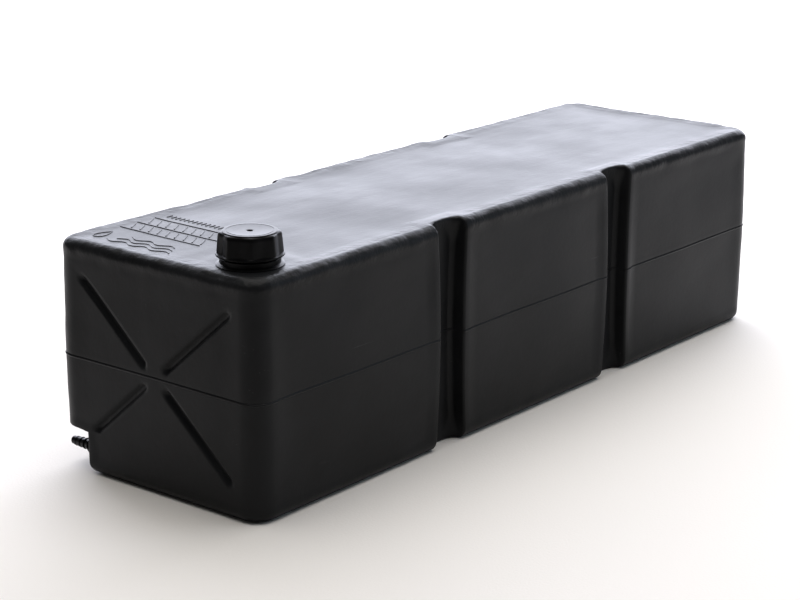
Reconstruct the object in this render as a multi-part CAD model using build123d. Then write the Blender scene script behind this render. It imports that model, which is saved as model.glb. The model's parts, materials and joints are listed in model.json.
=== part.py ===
from build123d import *
import math
import os

# Fresh water tank: a moulded shell that lies flat and is held down by two straps, with a screw
# filler cap on a threaded neck and a barbed hose outlet in a recess of its lower corner.
# Millimetres, +Z up. The origin is the centre of the underside. The filler end is at -X, and the
# outlet recess is in that end's lower corner, on the +Y side.

# ---- driving dimensions: shell ---------------------------------------------------------------
tank_length = 930.0          # at the mould's parting line
tank_width = 285.0
tank_height = 250.0
wall = 4.0
draft_angle = 0.6            # degrees, the shell narrows upwards and downwards from mid-height
corner_radius = 25.0         # upright corners, in plan
edge_radius = 12.0           # around the top and the underside
bead_proud = 0.6             # the flash line that the mould leaves at mid-height
bead_width = 2.4

# ---- strap grooves, two down each long side --------------------------------------------------
groove_spacing = 316.0       # between the two strap stations
groove_width = 40.0          # at mid-height
groove_end_width = 50.0      # at the top and the underside
groove_depth = 18.0
groove_flare = 10.0          # degrees, each wall leans outwards
groove_floor_radius = 5.0

# ---- stiffening recesses on the ends, laid out as an open X ------------------------------------
rib_width = 10.0
rib_depth = 6.0
rib_start_across = 17.0      # where a rib starts, from the end wall's centre
rib_start_up = 13.0
rib_side_margin = 42.5       # from a rib's outer end to the side wall
rib_top_margin = 40.0        # and to the top or the underside
rib_recess_margin = 7.0      # the rib beside the outlet recess stops this far above it

# ---- filler neck, cap, seal and vent ------------------------------------------------------------
neck_root = 51.6             # diameter at the thread's root
neck_wall = 3.5
neck_spigot_step = 1.5       # the part that goes through the shell is this much thicker all round
neck_spigot_drop = 4.0       # below the shell's wall
neck_collar_step = 4.7
neck_flange_step = 8.2
neck_flange_thick = 2.5
neck_flange_edge = 0.8
neck_collar_height = 7.0     # above the tank's top
neck_rise = 29.0
neck_lip = 1.0               # chamfer
filler_end_margin = 6.0      # from the neck's flange to the rounded edge of the top
filler_side_margin = 9.0
thread_pitch = 6.0
thread_depth = 1.6
thread_root_width = 2.4
thread_crest_width = 1.2
thread_turns = 2.0
thread_lead_in = 2.5         # from the neck's lip down to the thread
thread_gap = 0.4             # radial, between the cap's threads and the neck's
thread_sink = 0.5            # each thread is rooted this far into its wall
cap_skirt_gap = 2.5          # between the collar and the skirt
cap_flange_step = 0.6        # beyond the grip corners
cap_flange_thick = 2.0
cap_grips = 8                # corners around the skirt
cap_corner_step_bottom = 5.9    # from the cap's bore to a grip corner
cap_corner_step_top = 3.7
cap_corner_radius = 2.2
cap_edge_radius = 0.8
cap_top_step = 1.2           # from the cap's bore to the edge of the disc on top
cap_top_thick = 2.5
cap_disc_rise = 0.9
seal_thick = 2.5
seal_overhang = 1.0          # inside the neck's bore
vent_hole = 6.0
vent_pocket = 14.0
vent_boss_wall = 1.8
vent_boss_depth = 1.5
gauze_thick = 0.6
gauze_hole = 1.0
gauze_pitch = 1.8
gauze_rings = 3
retainer_bore = 8.0
retainer_lip = 0.8
fit_gap = 0.05               # radial, between parts that slide together

# ---- outlet: moulded-in bush, washer and hose tail -------------------------------------------------
stem_diameter = 13.2
bush_wall = 3.4
bush_flange_step = 1.0
bush_flange_thick = 3.0
bush_length = 14.0
bush_end_margin = 2.0        # from the bush's flange to the inside of the end wall
bush_floor_margin = 1.0      # from the bush's flange to the rounded edge of the floor
washer_step = 3.4            # beyond the stem
washer_thick = 2.0
hex_step = 2.9               # from the stem to the hexagon's flats
hex_length = 6.0
hex_chamfer = 0.6
stem_short = 1.0             # the stem stops this far inside the bush
tail_bore = 6.6
tail_wall = 1.5
tail_neck = 4.6              # plain shank between the hexagon and the barbs
barb_count = 4
barb_pitch = 6.4
barb_first = 10.6            # diameter of the barb at the tip
barb_growth = 0.8            # each next barb is this much larger
nose_step = 1.0              # wall at the tip

# ---- outlet recess ----------------------------------------------------------------------------
recess_beyond_outlet = 38.0  # from the outlet's axis to the recess's inner end
recess_beyond_tail = 3.8     # from the hose tail's tip to the tank's side
recess_headroom = 22.0       # above the outlet's axis
recess_radius = 8.0

# ---- derived sizes and places -----------------------------------------------------------------------
overcut = 10.0               # how far a cutter runs outside the shell
cutter_start = bead_proud + 1.0     # where a groove's or a rib's cutter starts, outside the wall
pick_tolerance = 0.01        # for picking edges by their height
half_length = tank_length / 2
half_width = tank_width / 2
mid_height = tank_height / 2

neck_bore = neck_root - 2 * neck_wall
neck_spigot = neck_root + 2 * neck_spigot_step
neck_collar = neck_root + 2 * neck_collar_step
neck_flange = neck_root + 2 * neck_flange_step
filler_x = -half_length + edge_radius + filler_end_margin + neck_flange / 2
filler_y = -half_width + edge_radius + filler_side_margin + neck_flange / 2
neck_top = tank_height + neck_rise
thread_bottom = neck_top - thread_lead_in - thread_pitch * thread_turns
skirt_bottom = tank_height + neck_collar_height + cap_skirt_gap
cap_ceiling = neck_top + seal_thick
cap_crown = cap_ceiling + cap_top_thick
cap_bore = neck_root + 2 * (thread_depth + thread_gap)
cap_corner_bottom = cap_bore + 2 * cap_corner_step_bottom
cap_corner_top = cap_bore + 2 * cap_corner_step_top

bush_bore = stem_diameter + 2 * fit_gap
bush_diameter = stem_diameter + 2 * bush_wall
bush_flange = bush_diameter + 2 * bush_flange_step
washer_diameter = stem_diameter + 2 * washer_step
tail_shank = tail_bore + 2 * tail_wall
tail_length = washer_thick + hex_length + tail_neck + barb_count * barb_pitch
outlet_from_end = wall + bush_end_margin + bush_flange / 2
outlet_height = edge_radius + bush_floor_margin + bush_flange / 2
outlet_x = -half_length + outlet_from_end
recess_length = outlet_from_end + recess_beyond_outlet
recess_width = tail_length + recess_beyond_tail
recess_height = outlet_height + recess_headroom
recess_wall_y = half_width - recess_width


def at_filler(shape):
    """Moves a shape made about the Z axis to the filler neck's axis."""
    return Pos(filler_x, filler_y, 0) * shape


def at_outlet(shape):
    """Moves a shape made about +Z, with the recess wall at z = 0, to the outlet, pointing along +Y."""
    return Pos(outlet_x, recess_wall_y, outlet_height) * (Rot(-90, 0, 0) * shape)


def turned(points):
    """A solid turned about the Z axis from (radius, height) points."""
    return revolve(make_face(Polyline([(r, 0, z) for r, z in points], close=True)), Axis.Z)


# ---- shell --------------------------------------------------------------------------------------------
def recess_cutter(grow):
    """The outlet recess, or with grow the space that keeps the cavity a wall away from it."""
    length = recess_length + grow + overcut
    width = recess_width + grow + overcut
    height = recess_height + grow + overcut
    box = Box(length, width, height, align=(Align.MIN, Align.MAX, Align.MIN))
    inner = box.edges().filter_by(Axis.Z).group_by(Axis.X)[-1].sort_by(Axis.Y)[0]
    box = fillet(inner, recess_radius + grow)
    return Pos(-half_length - overcut, half_width + overcut, -overcut) * box


def groove_cutter(side, station, grow):
    """One strap groove. Its floor is an upright plane, and its walls flare outwards and endwards."""
    flare = cutter_start * math.tan(math.radians(groove_flare))
    waist = groove_width / 2 + flare + grow
    end = groove_end_width / 2 + flare + grow
    low, high = -overcut - grow, tank_height + overcut + grow
    outline = [(-waist, mid_height), (-end, low), (end, low), (waist, mid_height), (end, high),
               (-end, high)]
    face = make_face(Polyline([(x, 0, z) for x, z in outline], close=True))
    depth = cutter_start + groove_depth + grow
    cutter = extrude(face, amount=depth, dir=(0, 1, 0), taper=groove_flare)
    floor = cutter.faces().sort_by(Axis.Y)[-1]
    uprights = floor.edges().filter_by(lambda edge: edge.bounding_box().size.Z > edge.bounding_box().size.X)
    cutter = fillet(uprights, groove_floor_radius + grow)
    cutter = Pos(0, -half_width - cutter_start, 0) * cutter
    if side > 0:
        cutter = Rot(0, 0, 180) * cutter
    return Pos(station, 0, 0) * cutter


def rib_cutters(end, grow):
    """The four sunk ribs of one end wall; end is -1 at the filler and 1 at the far end."""
    outer_across = half_width - rib_side_margin
    outer_up = mid_height - rib_top_margin
    slope = (outer_across - rib_start_across) / (outer_up - rib_start_up)
    cutters = []
    for across in (-1, 1):
        for up in (-1, 1):
            stop_up = outer_up
            if end < 0 and across > 0 and up < 0:
                stop_up = mid_height - recess_height - rib_recess_margin
            rise = stop_up - rib_start_up
            run = rise * slope
            slot = SlotOverall(math.hypot(run, rise) + rib_width + 2 * grow, rib_width + 2 * grow)
            slot = Rot(0, 0, math.degrees(math.atan2(up * rise, run))) * slot
            plane = Plane(origin=(end * (half_length + cutter_start), 0, mid_height),
                          x_dir=(0, across, 0), z_dir=(across, 0, 0))
            sketch = plane * (Pos(rib_start_across + run / 2, up * (rib_start_up + rise / 2)) * slot)
            depth = cutter_start + rib_depth + grow
            cutters.append(extrude(sketch, amount=depth, dir=(-end, 0, 0)))
    return cutters


def shell_form(inset):
    """The shell's outer form, or its cavity when inset is the wall."""
    outline = RectangleRounded(tank_length - 2 * inset, tank_width - 2 * inset, corner_radius - inset)
    half = mid_height - inset
    form = None
    for way in (1, -1):
        part = extrude(Pos(0, 0, mid_height) * outline, amount=half, dir=(0, 0, way), taper=draft_angle)
        form = part if form is None else form + part
    form -= recess_cutter(inset)
    for height in (inset, tank_height - inset):
        rim = form.edges().filter_by_position(Axis.Z, height - pick_tolerance, height + pick_tolerance)
        form = fillet(rim, edge_radius - inset)
    if inset == 0:
        bead = RectangleRounded(tank_length + 2 * bead_proud, tank_width + 2 * bead_proud,
                                corner_radius + bead_proud)
        form += extrude(Pos(0, 0, mid_height) * bead, amount=bead_width / 2, both=True)
    for station in (-groove_spacing / 2, groove_spacing / 2):
        for side in (-1, 1):
            form -= groove_cutter(side, station, inset)
    for end in (-1, 1):
        for cutter in rib_cutters(end, inset):
            form -= cutter
    return form


def tank_body():
    body = shell_form(0) - shell_form(wall)
    body -= at_filler(Pos(0, 0, tank_height) * Cylinder(neck_spigot / 2 + fit_gap, 4 * wall))
    return body - at_outlet(Cylinder(bush_diameter / 2 + fit_gap, 4 * wall))


# ---- filler --------------------------------------------------------------------------------------------
def thread(root_radius, outwards, bottom):
    """A right-hand trapezoid thread about the Z axis, standing outwards (1) or inwards (-1)."""
    path = Helix(thread_pitch, thread_pitch * thread_turns, root_radius, center=(0, 0, bottom))
    foot, tip = -outwards * thread_sink, outwards * thread_depth
    slope = (thread_root_width - thread_crest_width) / 2 / thread_depth
    root, crest = thread_root_width / 2 + slope * thread_sink, thread_crest_width / 2
    section = make_face(Polyline((foot, -root), (tip, -crest), (tip, crest), (foot, root), close=True))
    plane = Plane(origin=path @ 0, x_dir=(1, 0, 0), z_dir=path % 0)
    return sweep(plane * section, path=path, is_frenet=True)


def filler_neck():
    bore, root = neck_bore / 2, neck_root / 2
    base = tank_height
    foot = base - wall - neck_spigot_drop
    collar_top = base + neck_collar_height
    body = turned([
        (bore, foot), (neck_spigot / 2, foot), (neck_spigot / 2, base), (neck_flange / 2, base),
        (neck_flange / 2, base + neck_flange_edge), (neck_collar / 2, base + neck_flange_thick),
        (neck_collar / 2, collar_top), (root, collar_top), (root, neck_top - neck_lip),
        (root - neck_lip, neck_top), (bore, neck_top),
    ])
    return at_filler(body + thread(root, 1, thread_bottom))


def filler_cap():
    disc_bottom = cap_crown - cap_disc_rise
    taper = math.degrees(math.atan((cap_corner_bottom - cap_corner_top) / 2 / (cap_crown - skirt_bottom)))
    grip = RegularPolygon(cap_corner_bottom / 2, cap_grips)
    grip = fillet(grip.vertices(), cap_corner_radius)
    body = extrude(Pos(0, 0, skirt_bottom) * grip, amount=disc_bottom - skirt_bottom, taper=taper)
    body = fillet(body.faces().sort_by(Axis.Z)[-1].edges(), cap_edge_radius)
    flange = cap_corner_bottom / 2 + cap_flange_step
    disc = cap_bore / 2 + cap_top_step
    body += turned([(0, skirt_bottom), (flange, skirt_bottom), (flange, skirt_bottom + cap_flange_thick),
                    (0, skirt_bottom + cap_flange_thick)])
    body += turned([(0, cap_ceiling), (disc, cap_ceiling), (disc, disc_bottom),
                    (disc - cap_disc_rise, cap_crown), (0, cap_crown)])
    body -= turned([(0, skirt_bottom), (cap_bore / 2, skirt_bottom), (cap_bore / 2, cap_ceiling),
                    (0, cap_ceiling)])
    boss, pocket = vent_pocket / 2 + vent_boss_wall, vent_pocket / 2
    boss_end = cap_ceiling - vent_boss_depth
    body += turned([(pocket, boss_end), (boss, boss_end), (boss, cap_ceiling), (pocket, cap_ceiling)])
    body -= Pos(0, 0, cap_ceiling) * Cylinder(vent_hole / 2, 4 * cap_top_thick)
    return at_filler(body + thread(cap_bore / 2, -1, thread_bottom - thread_pitch / 2))


def cap_seal():
    outer, inner = cap_bore / 2 - thread_gap, neck_bore / 2 - seal_overhang
    return at_filler(turned([(inner, neck_top), (outer, neck_top), (outer, cap_ceiling),
                             (inner, cap_ceiling)]))


def vent_gauze():
    disc = Pos(0, 0, cap_ceiling - gauze_thick / 2) * Cylinder(vent_pocket / 2 - fit_gap, gauze_thick)
    for ring in range(gauze_rings + 1):
        count = max(1, 6 * ring)
        for index in range(count):
            angle = math.radians(360 * index / count)
            centre = (ring * gauze_pitch * math.cos(angle), ring * gauze_pitch * math.sin(angle))
            disc -= Pos(*centre, cap_ceiling) * Cylinder(gauze_hole / 2, 4 * gauze_thick)
    return at_filler(disc)


def vent_retainer():
    outer, inner, lip = vent_pocket / 2 - fit_gap, retainer_bore / 2, vent_pocket / 2 + vent_boss_wall
    top = cap_ceiling - gauze_thick
    boss_end = cap_ceiling - vent_boss_depth
    bottom = boss_end - retainer_lip
    return at_filler(turned([(inner, bottom), (lip, bottom), (lip, boss_end), (outer, boss_end),
                             (outer, top), (inner, top)]))


# ---- outlet --------------------------------------------------------------------------------------------
def outlet_bush():
    bore, outer, flange = bush_bore / 2, bush_diameter / 2, bush_flange / 2
    return at_outlet(turned([
        (bore, -bush_length), (outer, -bush_length), (outer, -wall - bush_flange_thick),
        (flange, -wall - bush_flange_thick), (flange, -wall), (outer, -wall), (outer, 0), (bore, 0),
    ]))


def outlet_washer():
    inner, outer = bush_bore / 2, washer_diameter / 2
    return at_outlet(turned([(inner, 0), (outer, 0), (outer, washer_thick), (inner, washer_thick)]))


def hose_tail():
    bore, stem, shank = tail_bore / 2, stem_diameter / 2, tail_shank / 2
    stem_end = stem_short - bush_length
    z = washer_thick + hex_length + tail_neck
    profile = [(bore, stem_end), (stem, stem_end), (stem, washer_thick), (shank, washer_thick), (shank, z)]
    for index in range(barb_count - 1, -1, -1):
        profile.append(((barb_first + barb_growth * index) / 2, z))
        z += barb_pitch
        profile.append((shank if index else bore + nose_step, z))
    profile.append((bore, z))
    hexagon = RegularPolygon(stem + hex_step, 6, major_radius=False)
    nut = extrude(Pos(0, 0, washer_thick) * hexagon, amount=hex_length)
    nut = chamfer(nut.edges().group_by(Axis.Z)[-1], hex_chamfer)
    nut -= Cylinder(bore, 4 * hex_length)
    return at_outlet(turned(profile) + nut)


# ---- write one file for each part -----------------------------------------------------------------------
os.makedirs("parts", exist_ok=True)
for make in (tank_body, filler_neck, filler_cap, cap_seal, vent_gauze, vent_retainer, outlet_bush,
             outlet_washer, hose_tail):
    export_step(make(), f"parts/{make.__name__}.step")
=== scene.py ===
import json
import math

import bmesh
import bpy
import numpy as np
from bpy.props import FloatProperty, FloatVectorProperty, IntProperty, PointerProperty
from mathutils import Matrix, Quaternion, Vector, noise


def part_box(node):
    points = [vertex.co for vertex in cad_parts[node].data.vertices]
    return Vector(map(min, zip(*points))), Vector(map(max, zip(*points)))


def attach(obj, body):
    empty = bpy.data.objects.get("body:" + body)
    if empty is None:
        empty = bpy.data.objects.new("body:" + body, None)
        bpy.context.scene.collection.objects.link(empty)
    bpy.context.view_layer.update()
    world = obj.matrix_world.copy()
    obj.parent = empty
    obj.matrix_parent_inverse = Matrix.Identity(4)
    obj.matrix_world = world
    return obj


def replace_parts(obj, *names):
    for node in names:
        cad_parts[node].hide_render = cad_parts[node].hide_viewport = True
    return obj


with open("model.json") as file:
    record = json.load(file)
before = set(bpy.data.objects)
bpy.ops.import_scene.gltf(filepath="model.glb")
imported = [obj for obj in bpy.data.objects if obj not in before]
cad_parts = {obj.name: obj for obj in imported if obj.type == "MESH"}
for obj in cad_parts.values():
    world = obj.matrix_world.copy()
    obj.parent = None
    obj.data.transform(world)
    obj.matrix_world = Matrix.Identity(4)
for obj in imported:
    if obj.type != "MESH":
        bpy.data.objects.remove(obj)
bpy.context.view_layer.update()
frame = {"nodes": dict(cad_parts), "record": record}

bl_info = {
    "name": "Fresh Water Tank",
    "version": (1, 0, 0),
    "blender": (4, 5, 0),
    "location": "View3D > Sidebar > Tank",
    "description": "Builds a moulded water tank with its cap, neck, hose tail and relief around a CAD frame",
    "category": "Object",
}

SEAT = next(m["pos_m"] for m in frame["record"]["mounts"] if m["name"] == "strap_seat_front_far")
SHELL_LOW, SHELL_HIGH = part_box("tank_body")
NECK_LOW, NECK_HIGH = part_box("filler_neck")
CAP_LOW, CAP_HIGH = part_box("filler_cap")
WASHER_LOW, WASHER_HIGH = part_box("outlet_washer")
HEIGHT = SHELL_HIGH.z
MID_HEIGHT = HEIGHT / 2
FILLER = (NECK_LOW + NECK_HIGH) / 2
OUTLET = (WASHER_LOW + WASHER_HIGH) / 2
STATION, GROOVE_FLOOR = SEAT[0], -SEAT[1]


# ---- sizes and colours that a user may change

def size(name, description, default):
    """A length property, in metres."""
    return FloatProperty(name=name, description=description, default=default, min=0.0, unit="LENGTH",
                         precision=5)


def angle(name, description, degrees):
    return FloatProperty(name=name, description=description, default=math.radians(degrees), subtype="ANGLE")


class TankShellSettings(bpy.types.PropertyGroup):
    bead_proud: size("Bead", "How far the parting line stands out", 0.0006)
    draft: angle("Draft", "Taper away from mid-height", 0.6)
    corner_radius: size("Corner radius", "Upright corners, in plan", 0.025)
    edge_radius: size("Edge radius", "Round of the top and the underside", 0.012)
    groove_half_width: size("Groove half width", "At mid-height, at the mouth", 0.020)
    groove_spread: size("Groove spread", "How much the half width grows towards top and underside", 0.005)
    groove_flare: angle("Groove flare", "Lean of the groove's walls", 10)
    lip_radius: size("Lip radius", "Round of the groove's lips", 0.0024)
    floor_radius: size("Floor radius", "Round at the groove's floor", 0.006)
    recess_height: size("Recess height", "From the underside to the outlet recess's ceiling", 0.046)
    recess_length: size("Recess length", "From the end wall to the recess's inner end", 0.055)
    recess_radius: size("Recess radius", "Upright inner corner of the recess", 0.008)
    rib_half_width: size("Rib half width", "Half the width of a sunk rib", 0.0042)
    rib_depth: size("Rib depth", "Depth of a sunk rib", 0.0048)
    rib_across: size("Rib start across", "From the end wall's centre line", 0.017)
    rib_up: size("Rib start up", "From mid-height", 0.013)
    rib_side_margin: size("Rib side margin", "From a rib's outer end to the side", 0.0425)
    rib_top_margin: size("Rib top margin", "From a rib's outer end to the top", 0.040)
    rib_recess_margin: size("Rib recess margin", "From a rib's end to the outlet recess", 0.007)
    wall: size("Wall", "Thickness of the moulded wall", 0.004)
    sink: size("Sink", "How far the flat faces are drawn in behind their edges", 0.0014)
    rim: size("Rim", "From an edge to the line where the drawn-in face starts", 0.0135)
    waviness: size("Waviness", "Height of the shallow waves in the faces", 0.0009)
    edge_waviness: size("Edge waviness", "Height of the waves along the edges", 0.0022)
    neck_ridge: size("Neck ridge", "Height of the low ridge that curves round the filler", 0.0009)
    neck_hole: size("Neck hole", "Radius of the hole that the filler neck sits in", 0.02735)
    bush_hole: size("Bush hole", "Radius of the hole that the outlet bush sits in", 0.01005)


class CapSettings(bpy.types.PropertyGroup):
    corners: IntProperty(name="Corners", description="Grip corners round the skirt", default=8, min=3)
    corner_radius: size("Corner radius", "From the axis to a grip corner, at the skirt's bottom", 0.0337)
    corner_radius_top: size("Corner radius at the top", "From the axis to a grip corner", 0.0315)
    rounding: size("Corner rounding", "Round of the grip corners", 0.0022)
    hollow: size("Hollow", "How far each grip face is drawn in at its middle", 0.0006)
    bore_radius: size("Bore radius", "Inside of the skirt", 0.0278)
    flange_thick: size("Flange", "Height of the ring round the skirt's bottom", 0.002)
    rim_round: size("Rim round", "Round of the grip's top edge", 0.0027)
    disc_radius: size("Disc radius", "Edge of the disc on top", 0.0276)
    disc_rise: size("Disc rise", "Height of the disc over the grip's top", 0.0010)
    dish: size("Dish", "Depth of the hollow in the disc", 0.0007)
    ceiling_drop: size("Crown thickness", "From the crown to the ceiling inside", 0.0025)
    vent_radius: size("Vent radius", "Air hole on the axis", 0.003)
    boss_inner: size("Vent pocket radius", "Inside of the ring that holds the vent's gauze", 0.007)
    boss_outer: size("Vent boss radius", "Outside of that ring", 0.0088)
    boss_depth: size("Vent boss depth", "Below the ceiling", 0.0015)
    thread_pitch: size("Thread pitch", "Rise for each turn", 0.006)
    thread_turns: FloatProperty(name="Thread turns", description="Turns of thread", default=2.0)
    thread_depth: size("Thread depth", "How far the thread stands into the bore", 0.0016)
    thread_start: size("Thread start", "From the skirt's bottom to the thread's lower end", 0.0020)


class ReliefSettings(bpy.types.PropertyGroup):
    line_width: size("Line width", "Width of a raised line", 0.0018)
    line_height: size("Line height", "How far a raised line stands above the top", 0.0007)
    row_pitch: size("Row pitch", "From one row of bars to the next", 0.0250)
    row_height: size("Row height", "Height of a row of bars", 0.015)
    bar_pitch: size("Bar pitch", "From one bar to the next", 0.0125)
    bars: IntProperty(name="Bars", description="Bars in each row", default=9, min=1)
    rows: IntProperty(name="Rows", description="Rows of bars", default=2, min=1)


class StageSettings(bpy.types.PropertyGroup):
    floor_size: size("Floor size", "Side of the floor", 40.0)
    camera_place: FloatVectorProperty(name="Camera", description="Camera's place in the tank's frame",
                                      default=(-1.8985, -1.4774, 0.8146), subtype="XYZ", unit="LENGTH")
    camera_heading: angle("Heading", "From +X towards +Y", 38.97)
    camera_dip: angle("Dip", "Below the horizon", 16.51)
    camera_roll: angle("Roll", "About the line of sight", -0.19)
    lens: FloatProperty(name="Lens", description="Focal length on a 36 mm sensor", default=96.95,
                        subtype="DISTANCE_CAMERA")
    floor_colour: FloatVectorProperty(name="Floor colour", description="Plain pale floor", subtype="COLOR",
                                      default=(0.87, 0.84, 0.80))


# ---- node trees as Python expressions

class Signal:
    """One output socket of a node tree, with arithmetic that adds Math nodes."""

    def __init__(self, graph, socket):
        self.graph, self.socket = graph, socket

    def __add__(self, other):
        return self.graph.math("ADD", self, other)

    def __sub__(self, other):
        return self.graph.math("SUBTRACT", self, other)

    def __rsub__(self, other):
        return self.graph.math("SUBTRACT", other, self)

    def __mul__(self, other):
        return self.graph.math("MULTIPLY", self, other)

    __radd__, __rmul__ = __add__, __mul__

    def between(self, low, high):
        """0 below low, 1 above high, smooth in between."""
        return self.graph.node("ShaderNodeMapRange", {"interpolation_type": "SMOOTHSTEP"},
                               {"Value": self, "From Min": low, "From Max": high})


class Graph:
    """A node tree that is being built."""

    def __init__(self, tree):
        self.tree = tree

    def node(self, kind, settings=None, inputs=None, output=0):
        """Adds a node, sets its settings, then its inputs (a list is several links); returns an output."""
        made = self.tree.nodes.new(kind)
        for name, value in (settings or {}).items():
            setattr(made, name, value)
        for name, value in (inputs or {}).items():
            for source in value if isinstance(value, list) else [value]:
                if isinstance(source, Signal):
                    self.tree.links.new(source.socket, made.inputs[name])
                else:
                    made.inputs[name].default_value = source
        return Signal(self, made.outputs[output]) if len(made.outputs) else None

    def math(self, operation, *values):
        return self.node("ShaderNodeMath", {"operation": operation}, dict(enumerate(values)))

    def mix(self, share, first, second):
        """A blend of two colours; 6, 7 and output 2 are the Mix node's colour sockets."""
        return self.node("ShaderNodeMix", {"data_type": "RGBA"}, {0: share, 6: first, 7: second}, output=2)

    def bump(self, height, distance):
        return self.node("ShaderNodeBump", inputs={"Height": height, "Distance": distance})

    def painted(self, geometry, material):
        """Ends a geometry tree: instances made real, with their material."""
        real = self.node("GeometryNodeRealizeInstances", inputs={"Geometry": geometry})
        painted = self.node("GeometryNodeSetMaterial", inputs={"Geometry": real, "Material": material})
        self.node("NodeGroupOutput", inputs={"Geometry": painted})

    def point(self, **axes):
        """A vector from the axes that are given."""
        return self.node("ShaderNodeCombineXYZ", inputs=axes)

    def noise(self, place, scale, detail=2.0, roughness=0.5, stretch=None):
        """Smooth noise, about 0.5, at a scale in features per metre."""
        if stretch:
            place = self.node("ShaderNodeMapping", inputs={"Vector": place, "Scale": stretch})
        return self.node("ShaderNodeTexNoise", inputs={
            "Vector": place, "Scale": scale, "Detail": detail, "Roughness": roughness})


def finish(name, base, build, **constants):
    """A material whose varying inputs come from build(graph, place, base), with constants for others."""
    material = bpy.data.materials.new(name)
    material.use_nodes = True
    material.node_tree.nodes.clear()
    graph = Graph(material.node_tree)
    place = graph.node("ShaderNodeTexCoord", output="Object")
    shader = graph.node("ShaderNodeBsdfPrincipled", inputs={**constants, **build(graph, place, base)})
    graph.node("ShaderNodeOutputMaterial", inputs={"Surface": shader})
    return material


SCUFF_COLOUR = (0.08, 0.08, 0.085)
TALC_COLOUR = (0.07, 0.07, 0.07)
STEEL_TARNISH = (0.22, 0.21, 0.20)
BRASS_TARNISH = (0.30, 0.20, 0.09)
DRAWN_X, HAIR_X, FLOW_X = ((share, 1.0, 1.0) for share in (0.05, 0.08, 0.35))  # draw a pattern out along X
TOOL_XZ = (0.1, 1.0, 0.1)
RIM_WIDE, RIM_NARROW = 0.034, 0.014  # the top's crumpled rim fades in between these, in from the sides
RIM_DEEP, RIM_SHALLOW = 0.022, 0.006  # the same, down from the top


def rgba(colour, gain=1.0):
    return (*(min(1.0, channel * gain) for channel in colour), 1.0)


def record_colour(slot):
    """The base colour that the record gives a material slot."""
    return next(m["base_color"] for m in frame["record"]["materials"] if m["slot"] == slot)


def moulded_shell():
    """Satin black polyethylene: flow clouds, a fine grain and scuffs."""
    def build(graph, place, base):
        cloud = graph.noise(place, 9.0, 3.0, 0.55)
        flow = graph.noise(place, 38.0, 3.0, 0.6, stretch=FLOW_X)
        grain = graph.noise(place, 1500.0, 2.0, 0.6)
        peel = graph.noise(place, 190.0, 3.0, 0.5)
        scuff = graph.noise(place, 240.0, 2.0, 0.6, stretch=DRAWN_X).between(0.68, 0.80)
        worn = graph.noise(place, 14.0).between(0.50, 0.66) * scuff
        x, y, z = (graph.math("ABSOLUTE", graph.node("ShaderNodeSeparateXYZ", inputs={0: place}, output=axis))
                   for axis in "XYZ")
        at_end = x.between(SHELL_HIGH.x - RIM_WIDE, SHELL_HIGH.x - RIM_NARROW)
        at_side = y.between(SHELL_HIGH.y - RIM_WIDE, SHELL_HIGH.y - RIM_NARROW)
        rim = graph.math("MAXIMUM", at_end, at_side) * z.between(HEIGHT - RIM_DEEP, HEIGHT - RIM_SHALLOW)
        crumple = graph.noise(place, 62.0, 4.0, 0.6) * rim
        tint = graph.mix(cloud.between(0.35, 0.65), rgba(base, 0.32), rgba(base, 0.46))
        colour = graph.mix(worn * 0.35, tint, rgba(SCUFF_COLOUR))
        rough = 0.33 + cloud.between(0.3, 0.7) * 0.06 + flow * 0.05 + worn * 0.12
        height = flow * 0.55 + peel * 0.16 + grain * 0.05 - worn * 0.05 + crumple * 3.0
        return {"Base Color": colour, "Roughness": rough, "Normal": graph.bump(height, 0.0006)}

    return finish("moulded_shell_plastic", record_colour("shell"), build, IOR=1.21)


def moulded_gloss(name, slot, rough, grain_height):
    """Moulded gloss plastic with hairline marks and finger smears."""
    def build(graph, place, base):
        smear = graph.noise(place, 60.0, 3.0, 0.6)
        hair = graph.noise(place, 700.0, stretch=HAIR_X).between(0.62, 0.75)
        grain = graph.noise(place, 2200.0)
        ripple = graph.noise(place, 110.0)
        colour = graph.mix(smear.between(0.4, 0.7), rgba(base, 0.3), rgba(base, 0.55))
        roughness = rough + smear * 0.08 + hair * 0.10
        height = ripple * 0.4 + grain * 0.04 - hair * 0.05
        return {"Base Color": colour, "Roughness": roughness, "Normal": graph.bump(height, grain_height)}

    return finish(name, record_colour(slot), build, IOR=1.2)


def rubber_seal():
    """Matt black rubber with talc bloom."""
    def build(graph, place, base):
        bloom = graph.noise(place, 320.0, 3.0, 0.6)
        colour = graph.mix(bloom.between(0.5, 0.8), rgba(base), rgba(TALC_COLOUR))
        return {"Base Color": colour, "Roughness": 0.7 + bloom * 0.2, "Normal": graph.bump(bloom, 0.0001)}

    return finish("seal_rubber", record_colour("seal"), build, **{"Specular IOR Level": 0.35})


def turned_metal(name, slot, rough, tarnish):
    """Turned or drawn metal with fine tool lines and dull patches."""
    def build(graph, place, base):
        lines = graph.noise(place, 900.0, stretch=TOOL_XZ)
        patch = graph.noise(place, 260.0, 3.0, 0.6).between(0.45, 0.7)
        colour = graph.mix(patch, rgba(base), rgba(tarnish))
        roughness = rough + patch * 0.2 + lines * 0.1
        return {"Base Color": colour, "Roughness": roughness, "Normal": graph.bump(lines, 0.00003)}

    return finish(name, record_colour(slot), build, Metallic=1.0)


def studio_floor(colour):
    """Seamless paper, with a faint tooth."""
    def build(graph, place, base):
        tooth = graph.noise(place, 350.0)
        patch = graph.noise(place, 1.3).between(0.3, 0.7)
        tone = graph.mix(patch, rgba(base), rgba(base, 0.985))
        return {"Base Color": tone, "Normal": graph.bump(tooth, 0.0002)}

    return finish("studio_floor", colour, build, **{"Roughness": 0.85, "Specular IOR Level": 0.2})


# ---- mesh helpers

def linked(name, data):
    """A new object in the scene."""
    made = bpy.data.objects.new(name, data)
    bpy.context.scene.collection.objects.link(made)
    return made


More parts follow.
